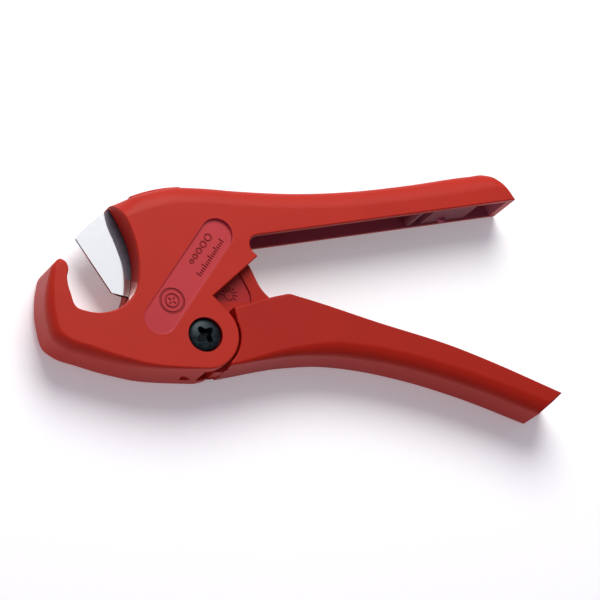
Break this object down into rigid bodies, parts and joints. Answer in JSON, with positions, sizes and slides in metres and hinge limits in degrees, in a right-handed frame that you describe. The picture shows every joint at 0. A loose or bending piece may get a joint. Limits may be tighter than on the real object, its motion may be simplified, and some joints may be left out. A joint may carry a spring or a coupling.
{
  "type": "pvc pipe cutter",
  "caption": "One-hand plastic pipe cutter: hooked jaw and forked head in one moulding with the upper handle, and a hinged lower handle that carries a straight-edged blade.",
  "frame": {"origin": "middle of the tool's footprint, on the far face that it lies on", "axes": "+X from the hooked jaw towards the ends of the handles, +Y from the lower handle towards the upper one, +Z out of the near face, along the pivot"},
  "size_m": [0.195, 0.0898, 0.022],
  "materials": {
    "red_moulding": "satin, fine moulded grain",
    "polished_blade": "mirror polished, ground edge",
    "black_screw": "black oxide",
    "plain_steel": "zinc plated"
  },
  "bodies": {
    "head": {"body": "red_moulding", "pivot_screw": "black_screw", "pivot_nut": "plain_steel", "pivot_bush": "plain_steel", "washer_near": "plain_steel", "washer_far": "plain_steel", "catch_pin": "plain_steel"},
    "blade_arm": {"lower_handle": "red_moulding", "blade": "polished_blade", "blade_pin_front": "plain_steel", "blade_pin_rear": "plain_steel", "keeper_pin": "plain_steel"},
    "catch": {"lock_catch": "red_moulding"}
  },
  "joints": [
    {"name": "closing", "type": "hinge", "parent": "head", "child": "blade_arm", "pos_m": [-0.0392, -0.0278, 0.011], "axis": [0, 0, 1], "range_deg": [-17, 27]},
    {"name": "catch_swing", "type": "hinge", "parent": "head", "child": "catch", "pos_m": [0.0628, 0.0345, 0.011], "axis": [0, 0, 1], "range_deg": [0, 57]}
  ]
}
